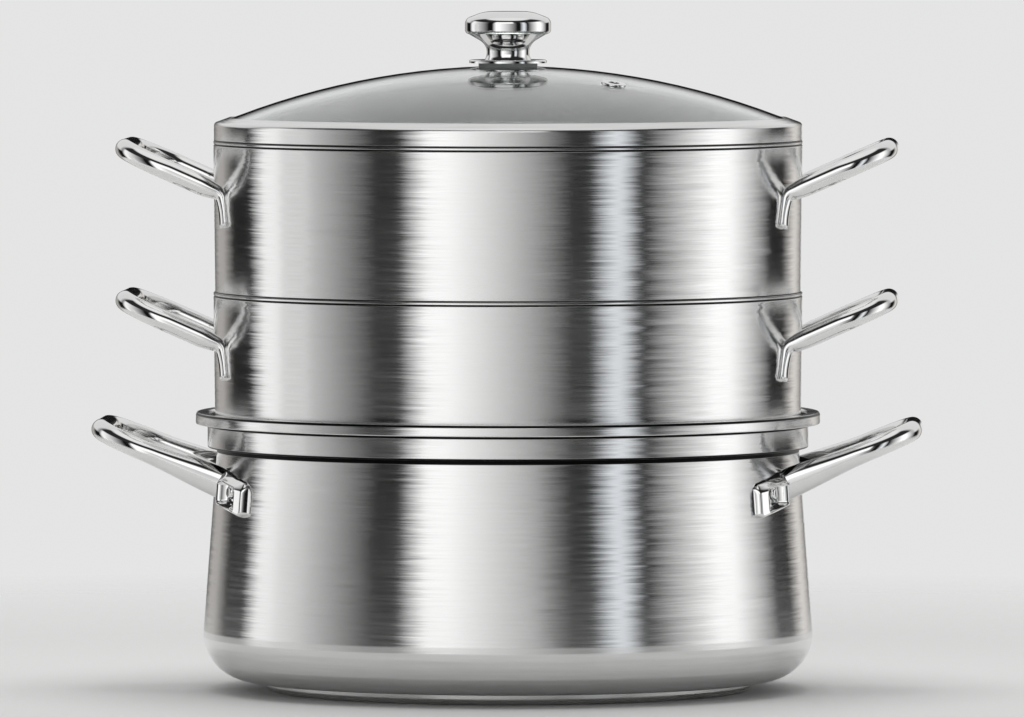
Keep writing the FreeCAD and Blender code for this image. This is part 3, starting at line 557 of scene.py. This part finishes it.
def rounded_outline(corners):
    """Points of a closed outline, each with whether it is a sharp corner.

    A corner is (radius, height) or, when rounded, (radius, height, rounding).
    """
    count = len(corners)
    outline = []
    for index, corner in enumerate(corners):
        here = Vector(corner[:2])
        if len(corner) == 2:
            outline.append((here, True))
            continue
        back = (Vector(corners[index - 1][:2]) - here).normalized()
        ahead = (Vector(corners[(index + 1) % count][:2]) - here).normalized()
        half = back.angle(ahead) / 2
        middle = here + (back + ahead).normalized() * (corner[2] / math.sin(half))
        start = here + back * (corner[2] / math.tan(half)) - middle
        sweep = math.pi - 2 * half
        if back.cross(ahead) > 0:
            sweep = -sweep
        steps = max(ARC_LEAST_STEPS, math.ceil(math.degrees(abs(sweep)) / ARC_STEP))
        for step in range(steps + 1):
            spun = start.copy()
            spun.rotate(Matrix.Rotation(sweep * step / steps, 2))
            outline.append((middle + spun, False))
    return outline


def supported(outline):
    """The outline with points just inside the ends of its long straight runs, to keep them straight."""
    points = []
    for (here, sharp), (there, _) in zip(outline, outline[1:] + outline[:1]):
        points.append((here, sharp))
        run = there - here
        if run.length > LONG_RUN:
            points.append((here + run.normalized() * SUPPORT, False))
            points.append((there - run.normalized() * SUPPORT, False))
    return points


def turned_mesh(name, corners):
    """A piece turned on the Z axis from its outline in (radius, height)."""
    work = bmesh.new()
    rings = []
    outline = supported(rounded_outline(corners))
    angles = [2 * math.pi * step / TURN_SEGMENTS for step in range(TURN_SEGMENTS)]
    for point, _ in outline:
        radius = point.x * MM
        height = point.y * MM
        if radius < ON_AXIS:
            rings.append([work.verts.new((0, 0, height))] * TURN_SEGMENTS)
            continue
        rings.append([
            work.verts.new((radius * math.cos(angle), radius * math.sin(angle), height))
            for angle in angles])
    for ring, after in zip(rings, rings[1:] + rings[:1]):
        for step in range(TURN_SEGMENTS):
            ahead = (step + 1) % TURN_SEGMENTS
            around = dict.fromkeys([ring[step], ring[ahead], after[ahead], after[step]])
            if len(around) > 2:
                work.faces.new(list(around)).smooth = True
    for ring, (_, sharp) in zip(rings, outline):
        if sharp and ring[0] is not ring[1]:
            for step in range(TURN_SEGMENTS):
                work.edges.get((ring[step], ring[(step + 1) % TURN_SEGMENTS])).smooth = False
    return closed_mesh(name, work)


def closed_mesh(name, work):
    """Turns a work mesh into a finished one with its faces looking outwards."""
    bmesh.ops.recalc_face_normals(work, faces=work.faces)
    mesh = bpy.data.meshes.new(name)
    work.to_mesh(mesh)
    work.free()
    return mesh


def shade_band(line, reach, least_radius):
    """A band of painted shade along a line round a piece: its lowest and highest millimetre and its least
    radius.
    """
    below, above = reach
    return line - below, line + above, least_radius


def pot_body():
    """Pot wall and dished floor in one sheet."""
    mesh = turned_mesh("pot_body", [
        (0, POT_FLOOR),
        (BELLY, POT_FLOOR, POT_CORNER),
        (WAIST, BODY_TOP),
        (WAIST - POT_WALL, BODY_TOP),
        (BELLY - POT_WALL, POT_FLOOR + POT_WALL, POT_CORNER - POT_WALL),
        (0, POT_FLOOR + POT_WALL),
    ])
    # Painted shade: a dark band on the wall just below the mouth's step, where shadow falls and the step
    # would mirror dark.
    shade_bands = [shade_band(BODY_TOP, WAIST_SHADE_REACH, WAIST - WAIST_SHADE_INSET)]
    material = brushed_steel("brushed_pot_wall", shade_bands)
    settled("pot_body", mesh, "pot", ["pot_shell", "pot_floor"], material)


def pot_mouth():
    """Stepped mouth with a turned-down rim."""
    rim_low = POT_RIM - RIM_DROP
    rim_top = POT_RIM + RIM_CROWN
    mesh = turned_mesh("pot_mouth", [
        (WAIST - POT_WALL, BODY_TOP),
        (MOUTH_OUTER, BODY_TOP, STEP_ROUND),
        (MOUTH_OUTER, POT_RIM - POT_WALL, RIM_FOLD_ROUND),
        (RIM_OUTER - RIM_SHEET, POT_RIM - POT_WALL, RIM_FOLD_ROUND),
        (RIM_OUTER - RIM_SHEET, rim_low),
        (RIM_OUTER, rim_low, RIM_EDGE_ROUND),
        (RIM_OUTER, rim_top - RIM_SLOPE_HEIGHT, SLOPE_FOOT_ROUND),
        (RIM_OUTER - RIM_SLOPE_WIDTH, rim_top, SLOPE_TOP_ROUND),
        (MOUTH_INNER, rim_top, MOUTH_ROUND),
        (MOUTH_INNER, LEDGE, FOLD_ROUND),
        (WAIST - POT_WALL, LEDGE),
    ])
    # Painted shade: dark bands under the step, under the turned-down rim and on the rim's outer top edge,
    # standing in for shadow and dark reflection.
    shade_bands = [
        shade_band(BODY_TOP, STEP_SHADE_REACH, WAIST),
        shade_band(rim_low, RIM_EDGE_SHADE_REACH, MOUTH_OUTER - POT_WALL / 2),
        shade_band(rim_top, RIM_TOP_SHADE_REACH, RIM_OUTER - RIM_SHADE_INSET),
    ]
    material = brushed_steel("brushed_pot_mouth", shade_bands)
    settled("pot_mouth", mesh, "pot", ["pot_collar"], material)


def tier_wall(name, rim):
    """Straight tier wall with its nesting neck and a rim hemmed into a bead."""
    foot = rim - TIER_HEIGHT
    hem = rim - HEM_HEIGHT
    mesh = turned_mesh(f"{name}_tier_wall", [
        (NECK_INNER, foot - NECK_DEPTH),
        (NECK_OUTER, foot - NECK_DEPTH, EDGE_ROUND),
        (NECK_OUTER, foot, EDGE_ROUND),
        (TIER_FOOT, foot, FOLD_ROUND),
        (TIER_RADIUS, hem - HEM_GROOVE, EDGE_ROUND),
        (TIER_RADIUS - HEM_GROOVE, hem, GROOVE_ROUND),
        (TIER_RADIUS, hem + HEM_LIP, EDGE_ROUND),
        (TIER_RADIUS, rim, HEM_ROUND),
        (HEM_INNER, rim, HEM_ROUND),
        (HEM_INNER, hem - HEM_GROOVE),
        (TIER_RADIUS - TIER_WALL, hem - HEM_TAPER),
        (TIER_FOOT - TIER_WALL, foot + TIER_WALL, FOLD_ROUND),
        (NECK_INNER, foot + TIER_WALL, FOLD_ROUND),
    ])
    # Painted shade: dark bands at the neck's fold, in the hem's groove and on the hem's top rounding,
    # where shadow falls between stacked parts.
    shade_bands = [
        shade_band(foot, FOLD_SHADE_REACH, NECK_OUTER - EDGE_ROUND),
        shade_band(hem, HEM_SHADE_REACH, TIER_RADIUS - HEM_SHADE_INSET),
        shade_band(rim, HEM_TOP_SHADE_REACH, TIER_RADIUS - HEM_SHADE_INSET),
    ]
    material = brushed_steel(f"brushed_{name}_tier", shade_bands)
    nodes = [f"{name}_tier_shell"]
    settled(f"{name}_tier_wall", mesh, f"{name}_tier", nodes, material)


def lid_rim():
    """Steel band round the lid glass."""
    mesh = turned_mesh("lid_rim", [
        (NECK_INNER, UPPER_RIM - BAND_NECK),
        (NECK_OUTER, UPPER_RIM - BAND_NECK, EDGE_ROUND),
        (NECK_OUTER, UPPER_RIM, EDGE_ROUND),
        (BAND_OUTER, UPPER_RIM, FOLD_ROUND),
        (BAND_OUTER, LIP_LOW, LIP_ROUND),
        (LIP_INNER, LIP_HIGH, LIP_EDGE_ROUND),
        (LIP_INNER, LIP_HIGH - BAND_WALL, LIP_EDGE_ROUND),
        (BAND_OUTER - BAND_WALL, LIP_LOW - BAND_WALL, LIP_ROUND - BAND_WALL),
        (BAND_OUTER - BAND_WALL, UPPER_RIM + BAND_WALL),
        (NECK_INNER, UPPER_RIM + BAND_WALL),
    ])
    # Painted shade: a dark band at the band's fold, where shadow falls in the gap on the tier below.
    shade_bands = [shade_band(UPPER_RIM, FOLD_SHADE_REACH, NECK_OUTER - EDGE_ROUND)]
    material = brushed_steel("brushed_lid_rim", shade_bands)
    settled("lid_rim", mesh, "lid", ["lid_band"], material)


def eased(share):
    """A share between 0 and 1 with level ends."""
    share = min(max(share, 0.0), 1.0)
    return share * share * (3 - 2 * share)


def rounded_run(points, radii):
    """Stations (place, direction) along straight runs joined by arcs at the inner points."""
    stations = []
    start = points[0]
    for corner, after, radius in zip(points[1:], points[2:], radii):
        way_in = (corner - start).normalized()
        way_out = (after - corner).normalized()
        turn = way_in.angle(way_out)
        axis = way_in.cross(way_out).normalized()
        arc_start = corner - way_in * (radius * math.tan(turn / 2))
        middle = arc_start + axis.cross(way_in) * radius
        stations += straight_run(start, arc_start, way_in)
        steps = max(BEND_LEAST_STEPS, round(math.degrees(turn) / BEND_STEP))
        for step in range(steps + 1):
            spin = Matrix.Rotation(turn * step / steps, 3, axis)
            stations.append((middle + spin @ (arc_start - middle), spin @ way_in))
        start = stations.pop()[0]
    way = (points[-1] - start).normalized()
    stations += straight_run(start, points[-1], way) + [(points[-1], way)]
    return stations


def straight_run(start, end, way):
    """Evenly spaced stations from start up to, but not with, the end."""
    steps = max(1, round((end - start).length / STATION_STEP))
    return [(start.lerp(end, step / steps), way) for step in range(steps)]


def swept_tube(work, stations, section):
    """Skins rings along the stations.

    section takes a place and its run from the nearer end; it gives a ring's thin way and two half widths.
    """
    runs = [0.0]
    for (here, _), (there, _) in zip(stations, stations[1:]):
        runs.append(runs[-1] + (there - here).length)
    rings = []
    for (place, way), run in zip(stations, runs):
        thin_way, thin, wide = section(place, min(run, runs[-1] - run))
        thin_way = (thin_way - way * thin_way.dot(way)).normalized()
        wide_way = way.cross(thin_way)
        ring = []
        for side in range(TUBE_SIDES):
            angle = 2 * math.pi * side / TUBE_SIDES
            across = thin_way * (thin * math.cos(angle))
            along = wide_way * (wide * math.sin(angle))
            ring.append(work.verts.new((place + across + along) * MM))
        rings.append(ring)
    for ring, after in zip(rings, rings[1:]):
        for side in range(TUBE_SIDES):
            ahead = (side + 1) % TUBE_SIDES
            work.faces.new((ring[side], ring[ahead], after[ahead], after[side])).smooth = True
    for ring in (rings[0], rings[-1]):
        work.faces.new(ring).smooth = False


def tier_handle(tier, side, rim, material):
    """Bent tube whose flattened, spread legs lie on the tier's wall."""
    leg_radius = TIER_FOOT + LEG_STANDOFF
    foot_y = TIER_HALF_WIDTH + TIER_FOOT_SPREAD
    foot = Vector((math.sqrt(leg_radius ** 2 - foot_y ** 2), foot_y, rim - TIER_FOOT_DROP))
    bend_x = math.sqrt(leg_radius ** 2 - TIER_HALF_WIDTH ** 2)
    bend = Vector((bend_x, TIER_HALF_WIDTH, rim - TIER_BEND_DROP))
    corner = Vector((TIER_REACH, TIER_HALF_WIDTH, rim - TIER_TIP_DROP))
    over = Vector((1, -1, 1))
    points = [foot, bend, corner, corner * over, bend * over, foot * over]
    rise = (corner - bend).normalized()
    underside = Vector((rise.z, 0, -rise.x))

    def section(place, run):
        share = eased((run - LEG_FORM_START) / LEG_FORM_LENGTH)
        outwards = Vector((place.x, place.y, 0)).normalized()
        tip = LEG_TIP_SHARE + (1 - LEG_TIP_SHARE) * eased(run / LEG_TIP_LENGTH)
        thin = (LEG_HALF_THICKNESS + (TIER_TUBE - LEG_HALF_THICKNESS) * share) * tip
        wide = (LEG_HALF_WIDTH + (TIER_TUBE - LEG_HALF_WIDTH) * share) * tip
        return outwards.lerp(underside, share), thin, wide

    work = bmesh.new()
    bends = [TIER_BEND, TIER_CORNER, TIER_CORNER, TIER_BEND]
    swept_tube(work, rounded_run(points, bends), section)
    end_in_wall(work, lambda height: TIER_FOOT - LEG_SINK)
    turn_to_side(work, side)
    name = f"{tier}_tier_handle_{side}"
    mesh = closed_mesh(name, work)
    settled(f"{name}_tube", mesh, f"{tier}_tier", [name], material)


def end_in_wall(work, least_radius):
    """Moves what would show inside a wall out to the least radius that is given for its height."""
    for vertex in work.verts:
        away = vertex.co.xy.length
        least = least_radius(vertex.co.z / MM) * MM
        if away < least:
            vertex.co.xy *= least / away


def turn_to_side(work, side):
    """Turns a work mesh that points to the right over to its own side."""
    if side == "left":
        bmesh.ops.rotate(work, verts=work.verts, matrix=Matrix.Rotation(math.pi, 3, "Z"))


def pot_wall_radius(height):
    """Outside radius of the pot wall at a height."""
    return BELLY + (WAIST - BELLY) * (height - POT_FLOOR) / (BODY_TOP - POT_FLOOR)


def inside_box(along, up, left, right, low, high, rounding):
    """How far a point lies inside a box with rounded corners; negative outside it."""
    dx = max(left + rounding - along, along - right + rounding)
    dy = max(low + rounding - up, up - high + rounding)
    outside = math.hypot(max(dx, 0), max(dy, 0))
    return rounding - outside - min(max(dx, dy), 0)


def foot_thickness(along, up):
    """How far a pressed handle foot stands off the wall, by place along it and above its middle line."""
    half = FOOT_HALF_HEIGHT + FOOT_WIDENING * along
    edge = inside_box(along, up, FOOT_START, FOOT_END, -half, half, FOOT_CORNER)
    if edge <= 0:
        return FOOT_BACK
    rise = FOOT_LEAST_RISE + (1 - FOOT_LEAST_RISE) * eased((along + FOOT_RISE_LENGTH) / FOOT_RISE_LENGTH)
    full = (FOOT_TIP + FOOT_SLOPE * (FOOT_END - along)) * rise
    full -= (full - FOOT_SHEET) * eased((up - half + FOOT_BEVEL) / FOOT_BEVEL)
    rounded = full * math.sqrt(1 - (1 - min(edge / FOOT_ROUNDING, 1.0)) ** 2)
    pocket = inside_box(along, up, POCKET_START, POCKET_END, POCKET_LIP - half, POCKET_TOP, POCKET_CORNER)
    return rounded + (FOOT_SHEET - rounded) * eased(pocket / POCKET_SIDE)


def pot_foot(work, front):
    """One pressed foot of a right-hand pot handle, closed behind by a back that lies inside the wall."""

    def placed_point(along, up, standoff):
        height = FOOT_HEIGHT - along * FOOT_FALL + up
        wall = pot_wall_radius(height)
        angle = math.radians(FOOT_ANGLE) + along / wall
        away = (wall + standoff) * MM
        return work.verts.new((away * math.cos(angle), front * away * math.sin(angle), height * MM))

    columns = range(math.floor(FOOT_START / FOOT_GRID), math.ceil(FOOT_END / FOOT_GRID) + 1)
    rows = range(-FOOT_ROWS, FOOT_ROWS + 1)
    shown = {}
    hidden = {}
    for column in columns:
        for row in rows:
            along, up = column * FOOT_GRID, row * FOOT_GRID
            standoff = foot_thickness(along, up)
            shown[column, row] = placed_point(along, up, standoff)
            hidden[column, row] = shown[column, row]
            if standoff > FOOT_BACK:
                hidden[column, row] = placed_point(along, up, FOOT_BACK)
    back = set()
    for column in columns[:-1]:
        for row in rows[:-1]:
            cell = [(column, row), (column + 1, row), (column + 1, row + 1), (column, row + 1)]
            outside = [shown[corner] for corner in cell]
            inside = [hidden[corner] for corner in cell]
            if outside != inside:
                work.faces.new(outside).smooth = True
                back.add(work.faces.new(inside[::-1]))
    for face in back:
        for edge in face.edges:
            edge.smooth = back.issuperset(edge.link_faces)
    unused = [point for point in work.verts if not point.link_faces]
    bmesh.ops.delete(work, geom=unused, context="VERTS")


def pot_handle(side, material):
    """Bent tube that swells to its roots, and two pressed feet with pockets for the rivets."""
    root_z = POT_RIM - POT_ROOT_DROP
    root_x = math.sqrt(pot_wall_radius(root_z) ** 2 - POT_HALF_WIDTH ** 2)
    root = Vector((root_x, POT_HALF_WIDTH, root_z))
    corner = Vector((POT_REACH, POT_HALF_WIDTH, POT_RIM - POT_TIP_DROP))
    way = (corner - root).normalized()
    root = root - way * ROOT_INSET
    over = Vector((1, -1, 1))
    points = [root, corner, corner * over, root * over]
    upright = Vector((-way.z, 0, way.x))

    def section(place, run):
        share = eased(run / ROOT_LENGTH)
        tall = ROOT_HALF_HEIGHT + (POT_TUBE - ROOT_HALF_HEIGHT) * share
        wide = ROOT_HALF_WIDTH + (POT_TUBE - ROOT_HALF_WIDTH) * share
        return upright, tall, wide

    work = bmesh.new()
    swept_tube(work, rounded_run(points, [POT_BEND, POT_BEND]), section)
    end_in_wall(work, lambda height: pot_wall_radius(height) + FOOT_BACK)
    for front in (-1, 1):
        pot_foot(work, front)
    turn_to_side(work, side)
    name = f"pot_handle_{side}"
    settled(f"{name}_tube", closed_mesh(name, work), "pot", [name], material)


def studio():
    """Pale round table in a pale surround, with strip lights all round and soft light overhead."""
    scene = bpy.context.scene
    scene.view_settings.view_transform = "Standard"
    world = bpy.data.worlds.new("studio")
    scene.world = world
    world.use_nodes = True
    wire = Wiring(world.node_tree)
    way = wire.add("ShaderNodeTexCoord").outputs["Generated"]
    parts = wire.add("ShaderNodeSeparateXYZ", {"Vector": wire.vector("NORMALIZE", way)}).outputs
    compass = wire.math("ARCTAN2", parts["X"], wire.math("MULTIPLY", parts["Y"], -1.0))
    light = surround(wire, compass, parts["Z"])
    background = wire.add("ShaderNodeBackground", {"Color": light, "Strength": 1.0})
    wire.add("ShaderNodeOutputWorld", {"Surface": background.outputs["Background"]})
    table()
    lamp()


def strip_lights(wire, compass):
    """Colour of the strip lights by compass angle, dark in the gaps between them."""
    turn = wire.math("ADD", wire.math("DIVIDE", compass, 2 * math.pi), 0.5)
    dark = (GAP_BETWEEN_LIGHTS,) * 3
    stops = [(0.0, dark)]
    for start, full_from, full_to, end, strength, colour in STRIP_LIGHTS:
        lit = tuple(strength * part for part in colour)
        for compass_angle, shade in ((start, dark), (full_from, lit), (full_to, lit), (end, dark)):
            stops.append((compass_angle / 360 + 0.5, shade))
    stops.append((1.0, dark))
    return wire.ramp(turn, stops)


def surround(wire, compass, rise):
    """What stands round the pot: strip lights, pale ground and backdrop, a dark ring and a glow above."""

    def above(degrees, soft):
        """One above an angle over the horizon, nothing below it, with a soft edge."""
        low = math.sin(math.radians(degrees - soft))
        high = math.sin(math.radians(degrees + soft))
        return wire.remap(rise, low, high)

    def below(degrees, soft):
        return wire.math("SUBTRACT", 1.0, above(degrees, soft))

    def toward(degrees, half_width, soft):
        """One within half a width of a compass angle, fading to nothing over a soft edge."""
        off = wire.math("COSINE", wire.math("SUBTRACT", compass, math.radians(degrees)))
        edge = math.cos(math.radians(half_width + soft))
        return wire.remap(off, edge, math.cos(math.radians(half_width)))

    def both(first, second):
        return wire.math("MULTIPLY", first, second)

    def grey(shade):
        return (shade, shade, shade, 1)

    pale = grey(PALE_SURROUND)
    sides = wire.math("MAXIMUM", toward(*PALE_BEHIND_WAY), toward(*PALE_LEFT_WAY))
    sides = both(sides, below(*PALE_SIDES_TOP))
    corner = both(toward(*PALE_CORNER_WAY), below(*PALE_CORNER_TOP))
    light = wire.mix(wire.math("MAXIMUM", sides, corner), strip_lights(wire, compass), pale)
    light = wire.mix(above(*PALE_GROUND_TOP), pale, light)
    light = wire.mix(above(*DARK_RING_BOTTOM), light, grey(DARK_RING))
    box_height = wire.math("SUBTRACT", above(*FRONT_BOX_BOTTOM), above(*FRONT_BOX_TOP))
    light = wire.mix(both(toward(*FRONT_BOX_WAY), box_height), light, grey(FRONT_BOX))
    light = wire.mix(both(toward(*BACKDROP_WAY), above(*BACKDROP_BOTTOM)), light, pale)
    return wire.mix(above(*OVERHEAD_BOTTOM), light, grey(OVERHEAD_GLOW))


def table():
    """A pale disc under the pot that fades out towards its edge."""
    mesh = bpy.data.meshes.new("table")
    disc = bmesh.new()
    bmesh.ops.create_circle(disc, cap_ends=True, segments=TABLE_SIDES, radius=TABLE_RADIUS)
    disc.to_mesh(mesh)
    disc.free()
    top = bpy.data.objects.new("table", mesh)
    bpy.context.scene.collection.objects.link(top)
    top.location.z = cad_box[0].z - TABLE_GAP
    material, wire, shader = finish("pale_table", Roughness=0.7)
    place = wire.add("ShaderNodeTexCoord").outputs["Object"]
    away = wire.vector("LENGTH", place)
    noise = wire.add("ShaderNodeTexNoise", {"Vector": place, "Scale": TABLE_GRAIN, "Detail": 3.0})
    lighter = tuple(min(part * GRAIN_LIGHTER, 1.0) for part in TABLE_COLOUR)
    colour = wire.mix(noise.outputs["Fac"], (*TABLE_COLOUR, 1), (*lighter, 1))
    wire.feed(colour, shader.inputs["Base Color"])
    fade = wire.remap(away, TABLE_RADIUS * FADE_FROM, TABLE_RADIUS * FADE_TO, 1.0, 0.0)
    wire.feed(fade, shader.inputs["Alpha"])
    mesh.materials.append(material)


def lamp():
    """Large soft lamp overhead; it lights the table but doesn't mirror in the steel."""
    light = bpy.data.lights.new("soft_lamp", "AREA")
    light.shape = "DISK"
    light.size = LAMP_SIZE
    light.energy = LAMP_POWER
    hung = bpy.data.objects.new("soft_lamp", light)
    bpy.context.scene.collection.objects.link(hung)
    hung.location.z = LAMP_HEIGHT
    hung.visible_glossy = False


def camera():
    """Camera in front of the pot, a little above its top."""
    lens = bpy.data.cameras.new("camera")
    lens.lens = LENS
    lens.sensor_width = SENSOR
    lens.clip_end = CLIP_END
    viewer = bpy.data.objects.new("camera", lens)
    bpy.context.scene.collection.objects.link(viewer)
    turn = math.radians(CAMERA_AZIMUTH)
    viewer.location = Vector((
        CAMERA_DISTANCE * math.sin(turn), -CAMERA_DISTANCE * math.cos(turn), CAMERA_HEIGHT))
    viewer.rotation_euler = (
        math.radians(90.0 - CAMERA_PITCH), 0.0, math.radians(CAMERA_AZIMUTH - CAMERA_YAW))
    bpy.context.scene.camera = viewer


def main():
    """Dresses the pieces, builds the smooth ones and sets up the studio."""
    bright = polished_steel()
    dress_nodes({
        "brushed_steel": brushed_steel("brushed_steel"),
        "polished_steel": bright,
        "plate_steel": satin_plate_steel(),
        "base_steel": turned_base_steel(),
        "core_aluminium": raw_aluminium(),
        "lid_glass": tempered_glass(),
        "lid_silicone": matt_silicone(),
    })
    pot_body()
    pot_mouth()
    lid_rim()
    for tier, rim in (("lower", LOWER_RIM), ("upper", UPPER_RIM)):
        tier_wall(tier, rim)
        for side in ("right", "left"):
            tier_handle(tier, side, rim, bright)
    for side in ("right", "left"):
        pot_handle(side, bright)
    studio()
    camera()


main()
